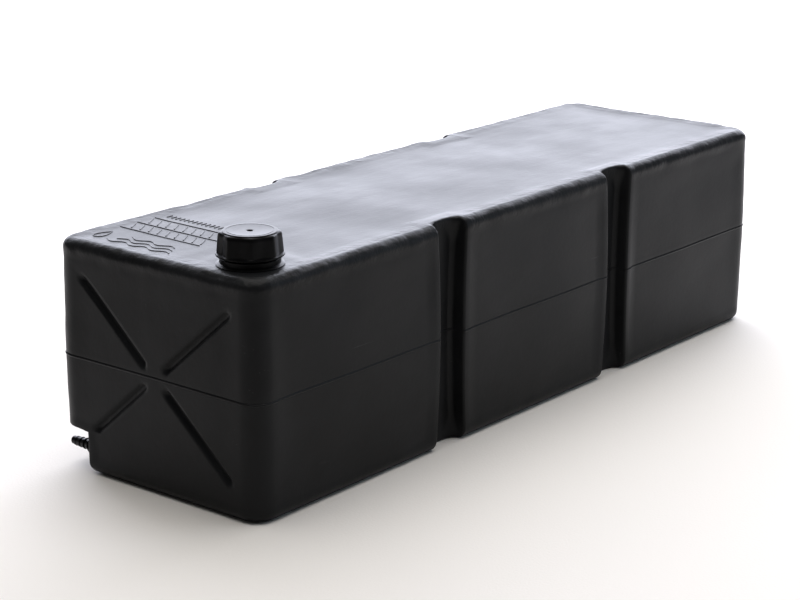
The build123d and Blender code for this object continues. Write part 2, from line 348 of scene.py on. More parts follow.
def discard(*helpers):
    """Removes helper objects together with their meshes."""
    for helper in helpers:
        bpy.data.meshes.remove(helper.data)


def show(name, mesh, body, material):
    """Puts a finished mesh in the scene as a piece that rides on a body."""
    piece = linked(name, mesh)
    mesh.materials.clear()
    mesh.materials.append(material)
    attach(piece, body)
    return piece


def smooth(mesh, angle):
    mesh.shade_smooth()
    mesh.set_sharp_from_angle(angle=angle)


def applied(piece):
    """The piece's mesh with its modifiers applied; the modifiers are removed."""
    bpy.context.view_layer.update()
    evaluated = piece.evaluated_get(bpy.context.evaluated_depsgraph_get())
    mesh = bpy.data.meshes.new_from_object(evaluated)
    piece.modifiers.clear()
    return mesh


def node_inputs(tree, sockets, geometry):
    """A geometry tree's graph and the signals of its named inputs, which this adds with its output."""
    kinds = {"Geometry": "Geometry"} if geometry else {}
    for name, value in sockets.items():
        kinds[name] = "Object" if isinstance(value, bpy.types.Object) else "Float"
    for name, kind in kinds.items():
        tree.interface.new_socket(name, in_out="INPUT", socket_type="NodeSocket" + kind)
    tree.interface.new_socket("Geometry", in_out="OUTPUT", socket_type="NodeSocketGeometry")
    graph = Graph(tree)
    return graph, {name: graph.node("NodeGroupInput", output=name) for name in kinds}


def grown(holder, tree, sockets, angle):
    """The mesh that a geometry node tree makes on a holder, which is discarded."""
    modifier = holder.modifiers.new(tree.name, "NODES")
    modifier.node_group = tree
    for item in tree.interface.items_tree:
        if item.in_out == "INPUT" and item.name in sockets:
            modifier[item.identifier] = sockets[item.name]
    mesh = applied(holder)
    discard(holder)
    smooth(mesh, angle)
    return mesh


def corner_curve(before, corner, after, reach, steps):
    """Points on a round at one corner; reach is how far before and after the corner it goes."""
    to = (corner - before) / np.linalg.norm(corner - before)
    out = (after - corner) / np.linalg.norm(after - corner)
    t = np.linspace(0.0, 1.0, steps + 1)[:, None]
    weight = math.sqrt(max(0.0, (1.0 + to @ out) / 2.0))
    a, b, c = (1 - t) ** 2, 2 * weight * t * (1 - t), t ** 2
    return (a * (corner - to * reach[0]) + b * corner + c * (corner + out * reach[1])) / (a + b + c)


def outline(corners):
    """A closed outline. Each corner is (x, y, reach or two, steps round it, steps to the next corner)."""
    points = [np.array(corner[:2]) for corner in corners]
    curves = []
    for index, (_, _, reach, steps, _) in enumerate(corners):
        following = points[(index + 1) % len(points)]
        reach = reach if isinstance(reach, tuple) else (reach, reach)
        curves.append(corner_curve(points[index - 1], points[index], following, reach, steps))
    loop = []
    for index, corner in enumerate(corners):
        curve, following = curves[index], curves[(index + 1) % len(curves)]
        t = np.linspace(0.0, 1.0, corner[4] + 1)[1:-1, None]
        loop += [curve, curve[-1] + (following[0] - curve[-1]) * t]
    return np.concatenate(loop)


def smoothstep(value, low, high):
    t = np.clip((value - low) / (high - low), 0.0, 1.0)
    return t * t * (3 - 2 * t)


# ---- tank shell

OUTSIDE_SPACING, CAVITY_SPACING = 0.0031, 0.012  # between levels, on straight runs
LONG_COARSE = 2.4  # points along the sides are this much further apart
RIB_SLOPE = 1.15  # a rib's run across for each rise, which the end walls' cells share
CORNER_STEPS, SPLIT_STEPS, LIP_STEPS, FLOOR_STEPS, FILLET_STEPS, CEILING_STEPS = 8, 4, 5, 9, 9, 6
SIDE_RUNS = (0.028, 0.23, 0.27, 0.26)  # beside the recess, up to a groove, between the grooves, past them
END_RUNS = (0.016, 0.215)  # beside the recess, and across the rest of the end
TURNED_IN = 0.08  # share of the recess's outline in the round at its ceiling
SEAM = (-2.2, -1.4, -1.0, -0.8, -0.4, 0, 0.4, 0.8, 1.1, 1.45, 1.8, 2.4)  # levels at the bead, in half heights
CREASE_AT, CREASE_WIDE, CREASE_DEEP = 1.45, 0.35, 0.45  # the crease above the bead, in the same unit
LIP_SHARE, FOOT_SHARE, ARCH_SHARE = 0.25, 0.4, 0.85  # the most of a groove's depth or width in its rounds
NEAR_END_FOOT = 0.3  # more of its depth, near the top and the underside
RIB_BLEND_IN, RIB_BLEND_OUT = 0.0032, 0.0014  # a rib's edge, each way from its half width


class ShellForm:
    """The shell's outer form, or its cavity with inset as the wall, as levels of equal outlines."""

    def __init__(self, settings, inset, spacing):
        self.s, self.inset, self.spacing = settings, inset, spacing
        self.half_length = SHELL_HIGH.x - settings.bead_proud - inset
        self.half_width = SHELL_HIGH.y - settings.bead_proud - inset
        self.low, self.high = inset, HEIGHT - inset
        self.edge = settings.edge_radius - inset
        self.lip = max(settings.lip_radius - inset, 0.001)
        self.recess_x = settings.recess_length + inset - SHELL_HIGH.x + settings.bead_proud
        self.recess_y = WASHER_LOW.y - inset
        self.ceiling = settings.recess_height + inset

    def fillet(self, z, radius):
        """How far a round of this radius draws a wall in at a height."""
        depth = max(0.0, self.low + radius - z, z - self.high + radius)
        return radius - math.sqrt(max(0.0, radius ** 2 - depth ** 2))

    def bead(self, z):
        """How far the parting line stands out at a height: a rounded bead with a fine crease above it."""
        off = (z - MID_HEIGHT) / (2 * self.s.bead_proud)
        if self.inset:
            return 0.0
        crease = CREASE_DEEP * math.exp(-((off - CREASE_AT) / CREASE_WIDE) ** 2)
        return self.s.bead_proud * (max(0.0, 1.0 - off ** 2) - crease)

    def steps(self, length, fineness=1.0):
        return max(1, round(length / (self.spacing * fineness)))

    def groove(self, side, station, z, after):
        """The four corners of one strap groove, in the order of travel."""
        s = self.s
        wall = self.half_width - abs(z - MID_HEIGHT) * math.tan(s.draft) - self.fillet(z, self.edge)
        wall += self.bead(z)
        rounding = self.fillet(z, self.lip)
        floor = GROOVE_FLOOR - self.inset - rounding + self.bead(z)
        mouth = s.groove_half_width + s.groove_spread * (abs(z - MID_HEIGHT) / MID_HEIGHT) ** 2
        depth = SHELL_HIGH.y - s.bead_proud - GROOVE_FLOOR
        bottom = mouth - depth * math.tan(s.groove_flare) + rounding + self.inset
        top = bottom + (wall - floor) * math.tan(s.groove_flare)
        near_end = float(smoothstep(abs(z - MID_HEIGHT), MID_HEIGHT - 2.5 * s.edge_radius, MID_HEIGHT))
        lip = min(s.lip_radius, (wall - floor) * LIP_SHARE)
        foot = min(s.floor_radius, (wall - floor) * FOOT_SHARE) + (wall - floor) * NEAR_END_FOOT * near_end
        arch = foot + (ARCH_SHARE * bottom - foot) * near_end
        ends = [(-top, wall, lip, LIP_STEPS, 2), (-bottom, floor, (foot, arch), FLOOR_STEPS, 4),
                (bottom, floor, (arch, foot), FLOOR_STEPS, 2), (top, wall, lip, LIP_STEPS, after)]
        return [(station - side * x, side * y, setback, steps, run) for x, y, setback, steps, run in ends]

    def corners(self, z, recessed):
        """The outline's corners at a height, from the filler end's front corner."""
        s = self.s
        fillet, split = self.fillet(z, self.edge), s.lip_radius
        drawn = abs(z - MID_HEIGHT) * math.tan(s.draft) + fillet
        length, width = self.half_length - drawn + self.bead(z), self.half_width - drawn + self.bead(z)
        radius = s.corner_radius - self.inset - fillet
        split_x, split_y = self.recess_x, self.recess_y
        if recessed:
            split_x, split_y = split_x + fillet, split_y - fillet
        short, entry, middle, far = (self.steps(run, LONG_COARSE) for run in SIDE_RUNS)
        beside, across = (self.steps(run, RIB_SLOPE) for run in END_RUNS)
        inner = (split_x, split_y, s.recess_radius, CORNER_STEPS, beside)
        outer = (-length, width, radius, CORNER_STEPS, beside)
        return [
            (-length, -width, radius, CORNER_STEPS, short),
            (split_x, -width, split, SPLIT_STEPS, entry),
            *self.groove(-1, -STATION, z, middle),
            *self.groove(-1, STATION, z, far),
            (length, -width, radius, CORNER_STEPS, across),
            (length, split_y, split, SPLIT_STEPS, beside),
            (length, width, radius, CORNER_STEPS, far),
            *self.groove(1, STATION, z, middle),
            *self.groove(1, -STATION, z, entry),
            (split_x, width, split, SPLIT_STEPS, short),
            inner if recessed else outer,
            (-length, split_y, split, SPLIT_STEPS, across),
        ]

    def levels(self):
        """(height, share of the recess's outline) of each level, upwards."""
        s = self.s
        quarter = np.linspace(0.0, math.pi / 2, FILLET_STEPS + 1)
        rises = self.edge * (1 - np.sin(quarter[::-1]))
        round_low = [(self.low + rise, 1.0) for rise in rises]
        round_high = [(self.high - rise, 0.0) for rise in rises[::-1]]
        arc = np.linspace(0.0, math.pi / 2, LIP_STEPS + 1)
        turn = [(s.lip_radius * (1 - math.sin(a)), TURNED_IN * (1 - math.cos(a))) for a in arc]
        under = [(self.ceiling - rise, 1.0 - share) for rise, share in turn]
        over = [(self.ceiling + rise, share) for rise, share in turn[::-1]]
        flat = [(self.ceiling, share) for share in np.linspace(1 - TURNED_IN, TURNED_IN, CEILING_STEPS)[1:-1]]
        seam = [MID_HEIGHT + 2 * s.bead_proud * share for share in SEAM]

        def run(start, end, recess):
            return [(z, recess) for z in np.linspace(start, end, self.steps(end - start) + 1)[1:-1]]

        return [*round_low, *run(round_low[-1][0], under[0][0], 1.0), *under, *flat, *over,
                *run(over[-1][0], seam[0], 0.0), *((z, 0.0) for z in seam),
                *run(seam[-1], round_high[0][0], 0.0), *round_high]

    def ribs(self, points):
        """Draws in the points of the end walls that lie in the sunk ribs."""
        s = self.s
        across = self.half_width + self.inset - s.rib_side_margin
        up = MID_HEIGHT - s.rib_top_margin
        slope = (across - s.rib_across) / (up - s.rib_up)
        y, z = points[:, 1], points[:, 2] - MID_HEIGHT
        for end in (-1, 1):
            drawn = np.zeros(len(points))
            for side in (-1, 1):
                for way in (-1, 1):
                    stop = up
                    if end < 0 and side > 0 and way < 0:
                        stop = MID_HEIGHT - s.recess_height - s.rib_recess_margin
                    start = np.array([side * s.rib_across, way * s.rib_up])
                    along = np.array([side * (stop - s.rib_up) * slope, way * (stop - s.rib_up)])
                    off = np.stack([y, z], 1) - start
                    t = np.clip(off @ along / (along @ along), 0.0, 1.0)
                    gap = np.linalg.norm(off - t[:, None] * along, axis=1)
                    half = s.rib_half_width + self.inset
                    share = 1 - smoothstep(gap, half - RIB_BLEND_IN, half + RIB_BLEND_OUT)
                    drawn = np.maximum(drawn, s.rib_depth * share)
            draft = np.abs(z) * math.tan(s.draft)
            on_end = end * points[:, 0] > self.half_length - draft - 0.0005
            on_end &= np.abs(y) < self.half_width - 0.02
            points[:, 0] -= np.where(on_end, end * drawn, 0.0)

    def mesh(self):
        """(points, faces) of the closed form, facing outwards."""
        rows = []
        for z, share in self.levels():
            loop = outline(self.corners(z, False))
            if share > 0:
                loop = loop + (outline(self.corners(z, True)) - loop) * share
            rows.append(np.column_stack([np.roll(loop, -CORNER_STEPS // 2, axis=0), np.full(len(loop), z)]))
        count, points = len(rows[0]), np.concatenate(rows)
        here = np.arange(count)
        after = np.roll(here, -1)
        walls = np.concatenate([np.column_stack([here, after, after + count, here + count]) + count * row
                                for row in range(len(rows) - 1)])
        centre = points[walls].mean(axis=1)
        at_end = np.abs(centre[:, 0]) > self.half_length - 0.004
        rising = at_end & (centre[:, 0] * centre[:, 1] * (centre[:, 2] - MID_HEIGHT) > 0)
        falling = at_end & ~rising
        self.ribs(points)
        top, grid = self.top_patch(rows[-1], count * (len(rows) - 1), len(points))
        faces = [tuple(face) for face in np.concatenate([walls[~at_end], grid])]
        for split, ways in ((rising, ((0, 1, 2), (0, 2, 3))), (falling, ((0, 1, 3), (1, 2, 3)))):
            faces += [tuple(face) for way in ways for face in walls[split][:, way]]
        faces.append(tuple(here[::-1]))
        return np.concatenate([points, top]), faces

    def top_patch(self, ring, first, new):
        """The flat top inside a ring, as a grid. Returns its new points and its faces."""
        long = int(np.argmax(ring[:, 0] - ring[:, 1]))
        wide = len(ring) // 2 - long

        def sides(loop):
            """The loop's front, right, back and left sides, as the grid runs."""
            loop = np.concatenate([loop, loop[:1]])
            cuts = (0, long, long + wide, 2 * long + wide, len(ring))
            front, right, back, left = (loop[start:stop + 1] for start, stop in zip(cuts, cuts[1:]))
            return front, right, back[::-1], left[::-1]

        front, right, back, left = sides(ring)
        u = ((front[:, 0] - front[0, 0]) / (front[-1, 0] - front[0, 0]))[None, :, None]
        v = ((left[:, 1] - left[0, 1]) / (left[-1, 1] - left[0, 1]))[:, None, None]
        patch = ((1 - v) * front[None] + v * back[None] + (1 - u) * left[:, None] + u * right[:, None]
                 - (1 - u) * (1 - v) * front[0] - u * (1 - v) * front[-1] - (1 - u) * v * back[0]
                 - u * v * back[-1])
        index = np.zeros((wide + 1, long + 1), int)
        index[1:-1, 1:-1] = new + np.arange((wide - 1) * (long - 1)).reshape(wide - 1, long - 1)
        index[0], index[:, -1], index[-1], index[:, 0] = sides(first + np.arange(len(ring)))
        faces = np.stack([index[:-1, :-1], index[:-1, 1:], index[1:, 1:], index[1:, :-1]], -1)
        return patch[1:-1, 1:-1].reshape(-1, 3), faces.reshape(-1, 4)


def welded(points, faces, name):
    """A mesh of points and faces whose coincident points are joined."""
    mesh = bpy.data.meshes.new(name)
    mesh.from_pydata(points.tolist(), [], faces)
    work = bmesh.new()
    work.from_mesh(mesh)
    bmesh.ops.remove_doubles(work, verts=work.verts, dist=1e-6)
    work.to_mesh(mesh)
    work.free()
    return mesh


WAVES = ((9, 9, 9), (16, 24, 24), (38, 44, 44), (95, 95, 95))  # broad, short, crease, fine; per metre
WAVES_FROM = Vector((5, 1, 3))
EDGE_AT, EDGE_WIDE = 0.004, 0.014  # where the edges' waves are highest, and their reach
LINE_SHORT, LINE_CREASE = 0.004, 0.0015  # how far the rim's line wanders
STEP_OUT, STEP_IN = 0.0016, 0.0020  # the step into the drawn-in face, each way from the line
HOLLOW = (0.014, 0.05)  # a face's broad hollow, in from its edges
SHELF_SHARE, HOLLOW_SHARE = 0.45, 0.65  # of the sink
SHORT_SHARE, CREASE_SHARE = 0.35, 0.10  # of the waviness
LUMPS = (0.12, 0.55, 0.6, 0.2)  # the edges' waves: a level, then short, crease and fine
LUMP_RANGE = (-0.25, 0.9)
CALM, CALM_SHARE = (0.205, 0.235), 0.3  # the edges are calmer below these heights
NECK_CLEAR = (0.036, 0.056)  # from the filler's axis: no waves, then all of them
RIDGE_AT, RIDGE_WANDER, RIDGE_WIDE = 0.049, 0.003, 0.0045
RIDGE_FADE = (0.03, 0.09)  # towards the near side
FOOT = (0.0005, 0.012)  # the underside stays flat
CLEAR_OF_CUTS, GROOVE_EASE = 0.010, 0.008  # the recess and the grooves keep their shape


def moulding_marks(mesh, s):
    """Draws the faces in behind their edges and gives them the shallow waves of a hollow moulding."""
    flat = np.zeros(len(mesh.vertices) * 3, np.float32)
    mesh.vertices.foreach_get("co", flat)
    points = flat.reshape(-1, 3)
    half = np.array([SHELL_HIGH.x, SHELL_HIGH.y, MID_HEIGHT])
    centred = points - np.array([0, 0, MID_HEIGHT])
    out = np.maximum(np.abs(centred) - half + s.edge_radius, 0.0)
    out *= np.sign(centred) / np.maximum(np.linalg.norm(out, axis=1), 1e-9)[:, None]
    room = np.sort(half - np.abs(centred), axis=1)[:, 1]

    x, y, z = points.T
    clear = np.maximum(np.abs(np.abs(x) - STATION) - s.groove_half_width - s.groove_spread,
                       GROOVE_FLOOR - GROOVE_EASE - np.abs(y))
    recess = np.maximum.reduce([x - SHELL_LOW.x - s.recess_length, WASHER_LOW.y - y, z - s.recess_height])
    inside = np.minimum(clear, recess)
    broad, short, crease, fine = (
        np.array([noise.noise(Vector(p) * Vector(scale) + WAVES_FROM) for p in points]) for scale in WAVES)
    near_edge = np.exp(-((room - EDGE_AT) / EDGE_WIDE) ** 2)
    line = s.rim + LINE_SHORT * short + LINE_CREASE * crease
    shelf = smoothstep(np.minimum(room, inside + EDGE_AT), line - STEP_OUT, line + STEP_IN)
    hollow = smoothstep(room, *HOLLOW)
    drawn = s.sink * (SHELF_SHARE * shelf + HOLLOW_SHARE * hollow) * (0.75 + 0.5 * broad)
    drawn += s.waviness * (0.5 + broad) * smoothstep(room, 0.0, HOLLOW[1])
    drawn += s.waviness * (0.5 + short) * SHORT_SHARE * shelf
    drawn += s.waviness * (0.5 + crease) * CREASE_SHARE
    lumps = LUMPS[0] + LUMPS[1] * short + LUMPS[2] * crease + LUMPS[3] * fine
    calm = CALM_SHARE + (1 - CALM_SHARE) * smoothstep(z, *CALM)
    drawn += s.edge_waviness * near_edge * np.clip(lumps, *LUMP_RANGE) * calm
    beside_neck = np.linalg.norm(points[:, :2] - np.array([FILLER.x, FILLER.y]), axis=1)
    on_top = z > HEIGHT - 0.002
    drawn = np.where(on_top, drawn * smoothstep(beside_neck, *NECK_CLEAR), drawn)
    off_ridge = (beside_neck - RIDGE_AT - RIDGE_WANDER * short) / RIDGE_WIDE
    ridge = s.neck_ridge * np.exp(-off_ridge ** 2)
    drawn -= np.where(on_top, ridge * smoothstep(-y, *RIDGE_FADE), 0.0)
    keep = smoothstep(z, *FOOT) * smoothstep(inside, 0.0, CLEAR_OF_CUTS)
    points -= (out * (drawn * keep)[:, None]).astype(np.float32)
    mesh.vertices.foreach_set("co", points.ravel())
    mesh.update()


def round_cutter(name, radius, start, end):
    """A cylinder between two points, for cutting a hole; it isn't part of the object."""
    mesh = bpy.data.meshes.new(name)
    work = bmesh.new()
    axis = end - start
    turn = axis.to_track_quat("Z", "Y").to_matrix().to_4x4()
    turn.translation = (start + end) / 2
    bmesh.ops.create_cone(work, cap_ends=True, segments=96, radius1=radius, radius2=radius,
                          depth=axis.length, matrix=turn)
    work.to_mesh(mesh)
    work.free()
    return linked(name, mesh)


class TANK_OT_shell(bpy.types.Operator):
    """Make the moulded shell with its grooves, sunk ribs, recess and cavity"""
    bl_idname = "tank.shell"
    bl_label = "Shell"

    def execute(self, context):
        s = context.scene.tank_shell
        outside = welded(*ShellForm(s, 0.0, OUTSIDE_SPACING).mesh(), "tank_outside")
        moulding_marks(outside, s)
        inside = welded(*ShellForm(s, s.wall, CAVITY_SPACING).mesh(), "tank_cavity")
        inside.flip_normals()
        work = bmesh.new()
        work.from_mesh(outside)
        work.from_mesh(inside)
        work.to_mesh(outside)
        work.free()
        bpy.data.meshes.remove(inside)
        piece = linked("cut_shell", outside)
        reach = Vector((0, 0, 4 * s.wall))
        above = Vector((FILLER.x, FILLER.y, HEIGHT))
        across = Vector((0, 3 * s.wall, 0))
        wall = Vector((OUTLET.x, WASHER_LOW.y, OUTLET.z))
        cutters = [round_cutter("neck_cutter", s.neck_hole, above - reach, above + reach),
                   round_cutter("bush_cutter", s.bush_hole, wall - across, wall + across)]
        for cutter in cutters:
            cut = piece.modifiers.new(cutter.name, "BOOLEAN")
            cut.object, cut.operation, cut.solver = cutter, "DIFFERENCE", "EXACT"
        mesh = applied(piece)
        discard(piece, *cutters)
        smooth(mesh, math.radians(60))
        mesh.name = "tank_shell"
        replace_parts(show("tank_shell", mesh, "root", moulded_shell()), "tank_body")
        return {"FINISHED"}


# ---- filler cap

AROUND = 160  # points round the cap
GRIP_STEPS, RIM_STEPS, DISC_STEPS, DISH_STEPS, BORE_STEPS = 12, 9, 6, 12, 6
MOUTH_CHAMFER = 0.0008
FLANGE_FOOT = ((0.0009, 0.0), (0.00026, 0.00026), (0.0, 0.0008))  # in from the flange's edge, up
FLANGE_HEAD = ((0.0, 0.0006, 0), (0.0003, 0.0001, 0), (0.0008, 0.0, 0.15))  # in, down, share of the grip
GRIP_FROM, GRIP_TO = 0.0004, 0.0003  # gaps below and above the grip's straight part
SEAM_OUT, SEAM_UP, SEAM_SHARE = 0.0003, 0.0001, 0.1  # where the disc meets the grip
RING_IN = 0.0042  # from the disc's edge to the fine ring cut in it
RING_CUT = ((0.0006, 0.0), (0.00025, 0.00030), (-0.00025, 0.00030), (-0.0006, 0.0))  # out, down
DISH_FROM, DISH_TO = 0.002, 0.0012  # in from the ring, out from the vent
VENT_ROUND = ((0.0004, 0.0001), (0.0, 0.0005))  # out, down
BORE_FROM, BORE_TO = 0.002, 0.003  # below the ceiling, above the bottom
THREAD_SECTION = (0.85, 0.62, 1.0)  # scales of the ridge's round section


def grip_outline(settings, radius, share, theta):
    """Radius of the grip at each angle: a polygon with rounded corners, or a circle where share is 0."""
    sector = 2 * math.pi / settings.corners
    off = (theta + sector / 2) % sector - sector / 2
    inradius = radius * math.cos(sector / 2)
    flat = inradius / np.cos(sector / 2 - np.abs(off))
    blunt = radius - settings.rounding * (1 / math.cos(sector / 2) - 1) * 2
    middle = settings.hollow * smoothstep(np.abs(off), sector * 0.16, sector * 0.5)
    return radius + (np.minimum(flat, blunt) - middle - radius) * share


class TANK_OT_cap(bpy.types.Operator):
    """Make the screw cap: its grip, flange, disc, bore and vent"""
    bl_idname = "tank.cap"
    bl_label = "Filler cap"

    def execute(self, context):
        s = context.scene.tank_cap
        bottom, crown = CAP_LOW.z, CAP_HIGH.z
        grip_top, ceiling = crown - s.disc_rise, crown - s.ceiling_drop
        flange = (CAP_HIGH.x - CAP_LOW.x) / 2
        span = grip_top - bottom

        def corner_at(z):
            return s.corner_radius + (s.corner_radius_top - s.corner_radius) * (z - bottom) / span

        top = bottom + s.flange_thick
        rows = [(s.bore_radius, bottom + MOUTH_CHAMFER, 0), (s.bore_radius + MOUTH_CHAMFER, bottom, 0)]
        rows += [(flange - inwards, bottom + up, 0) for inwards, up in FLANGE_FOOT]
        rows += [(flange - inwards, top - down, share) for inwards, down, share in FLANGE_HEAD]
        rows += [(corner_at(z), z, 1)
                 for z in np.linspace(top + GRIP_FROM, grip_top - s.rim_round - GRIP_TO, GRIP_STEPS)]
        edge = corner_at(grip_top)
        rows += [(edge - s.rim_round * (1 - math.cos(a)), grip_top - s.rim_round * (1 - math.sin(a)), 1)
                 for a in np.linspace(0.1, math.pi / 2, RIM_STEPS)]
        rows += [(s.disc_radius + SEAM_OUT, grip_top, SEAM_SHARE), (s.disc_radius, grip_top + SEAM_UP, 0)]
        rows += [(s.disc_radius - s.disc_rise * (1 - math.cos(a)), grip_top + s.disc_rise * math.sin(a), 0)
                 for a in np.linspace(0.2, math.pi / 2, DISC_STEPS)]
        ring = s.disc_radius - RING_IN
        rows += [(ring + outwards, crown - down, 0) for outwards, down in RING_CUT]
        rows += [(radius, crown - s.dish * (1 - (radius / ring) ** 2), 0)
                 for radius in np.linspace(ring - DISH_FROM, s.vent_radius + DISH_TO, DISH_STEPS)]
        rows += [(s.vent_radius + outwards, crown - s.dish - down, 0) for outwards, down in VENT_ROUND]
        pocket = ceiling - s.boss_depth
        rows += [(s.vent_radius, ceiling, 0), (s.boss_inner, ceiling, 0), (s.boss_inner, pocket, 0),
                 (s.boss_outer, pocket, 0), (s.boss_outer, ceiling, 0), (s.bore_radius, ceiling, 0)]
        bore = np.linspace(ceiling - BORE_FROM, bottom + BORE_TO, BORE_STEPS)
        rows += [(s.bore_radius, z, 0) for z in bore]
        theta = np.linspace(0, 2 * math.pi, AROUND, endpoint=False)
        points = []
        for radius, z, share in rows:
            r = grip_outline(s, radius, share, theta) if share else np.full(AROUND, radius)
            points.append(np.column_stack([FILLER.x + r * np.cos(theta), FILLER.y + r * np.sin(theta),
                                           np.full(AROUND, z)]))
        here, after = np.arange(AROUND), np.roll(np.arange(AROUND), -1)
        faces = []
        for row in range(len(rows)):
            low, high = row * AROUND, (row + 1) % len(rows) * AROUND
            faces += [(a + low, b + low, b + high, a + high) for a, b in zip(here.tolist(), after.tolist())]
        mesh = bpy.data.meshes.new("screw_cap")
        mesh.from_pydata(np.concatenate(points).tolist(), [], faces)
        smooth(mesh, math.radians(38))
        material = moulded_gloss("cap_gloss_plastic", "cap", 0.29, 0.00010)
        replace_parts(show("screw_cap", mesh, "cap", material), "filler_cap")
        show("cap_thread", self.thread(s, bottom, material), "cap", material)
        return {"FINISHED"}

    def thread(self, s, bottom, material):
        """A helical ridge on the bore, swept by geometry nodes."""
        tree = bpy.data.node_groups.new("cap_thread", "GeometryNodeTree")
        sockets = {"Pitch": s.thread_pitch, "Turns": s.thread_turns, "Radius": s.bore_radius,
                   "Depth": s.thread_depth, "Start": bottom + s.thread_start}
        graph, given = node_inputs(tree, sockets, False)
        spiral = graph.node("GeometryNodeCurveSpiral", inputs={
            "Resolution": 96, "Rotations": given["Turns"], "Start Radius": given["Radius"],
            "End Radius": given["Radius"], "Height": given["Pitch"] * given["Turns"]})
        ridge = graph.node("GeometryNodeCurvePrimitiveCircle", inputs={
            "Resolution": 10, "Radius": given["Depth"]})
        section = graph.node("GeometryNodeTransform", inputs={"Geometry": ridge, "Scale": THREAD_SECTION})
        swept = graph.node("GeometryNodeCurveToMesh", inputs={
            "Curve": spiral, "Profile Curve": section, "Fill Caps": True})
        spot = graph.point(X=FILLER.x, Y=FILLER.y, Z=given["Start"])
        placed = graph.node("GeometryNodeTransform", inputs={"Geometry": swept, "Translation": spot})
        graph.painted(placed, material)
        holder = linked("thread_path", bpy.data.meshes.new("thread_path"))
        return grown(holder, tree, sockets, math.radians(40))


# ---- raised marks on the top

WAVE_COUNT = 3
WAVES_IN = (0.030, 0.050)  # the first and the last wave, in from the filler end
WAVE_ENDS = (0.002, 0.092)  # where the first wave starts and stops across the tank
WAVE_SHIFTS = (0.006, -0.008)  # how much further on each next one starts and stops
WAVE_SWING, HALF_WAVE = 0.0032, 0.0145
DROP_LONG, DROP_WIDE, DROP_POINT = 0.0125, 0.0085, 1.3
DROP_AT = (0.002, 0.108)  # the drop, on from the waves' middle and across the tank
RULES = (0.0735, 0.0985, 0.1240)  # the long rules, in from the filler end
RULE_ENDS = (0.002, 0.116)
ROWS_AT = (0.0985, 0.059)  # middle of the rows of bars, in from the filler end and across
TICKS_AT = (0.139, 0.009)  # the first tick of the fine row
TICK_HALF = 0.004
BAR_LEAN = 0.35  # of the bar pitch
LINE_SAMPLE = 0.0015  # between the points that lie on the shell
PROBE = 0.1  # the lines are dropped on the shell from this far above it


def relief_lines():
    """The free lines of the raised marks, as (points, closed): three waves, a drop and long rules."""
    lines = []
    low, high = (SHELL_LOW.x + inwards for inwards in WAVES_IN)
    for wave in range(WAVE_COUNT):
        start, stop = (end + shift * wave for end, shift in zip(WAVE_ENDS, WAVE_SHIFTS))
        y = np.linspace(start, stop, 40)
        x = low + (high - low) * wave / (WAVE_COUNT - 1)
        x = x + WAVE_SWING * np.sin((y - y[0]) / HALF_WAVE * math.pi)
        lines.append((np.column_stack([x, y]), False))
    t = np.linspace(0, 2 * math.pi, 36, endpoint=False)
    drop = np.column_stack([DROP_LONG * np.cos(t) + DROP_AT[0],
                            DROP_WIDE * np.sin(t) * np.sin(t / 2) ** DROP_POINT])
    lines.append((drop + np.array([(low + high) / 2, DROP_AT[1]]), True))
    for rule in RULES:
        lines.append((np.column_stack([np.full(24, SHELL_LOW.x + rule), np.linspace(*RULE_ENDS, 24)]), False))
    return lines


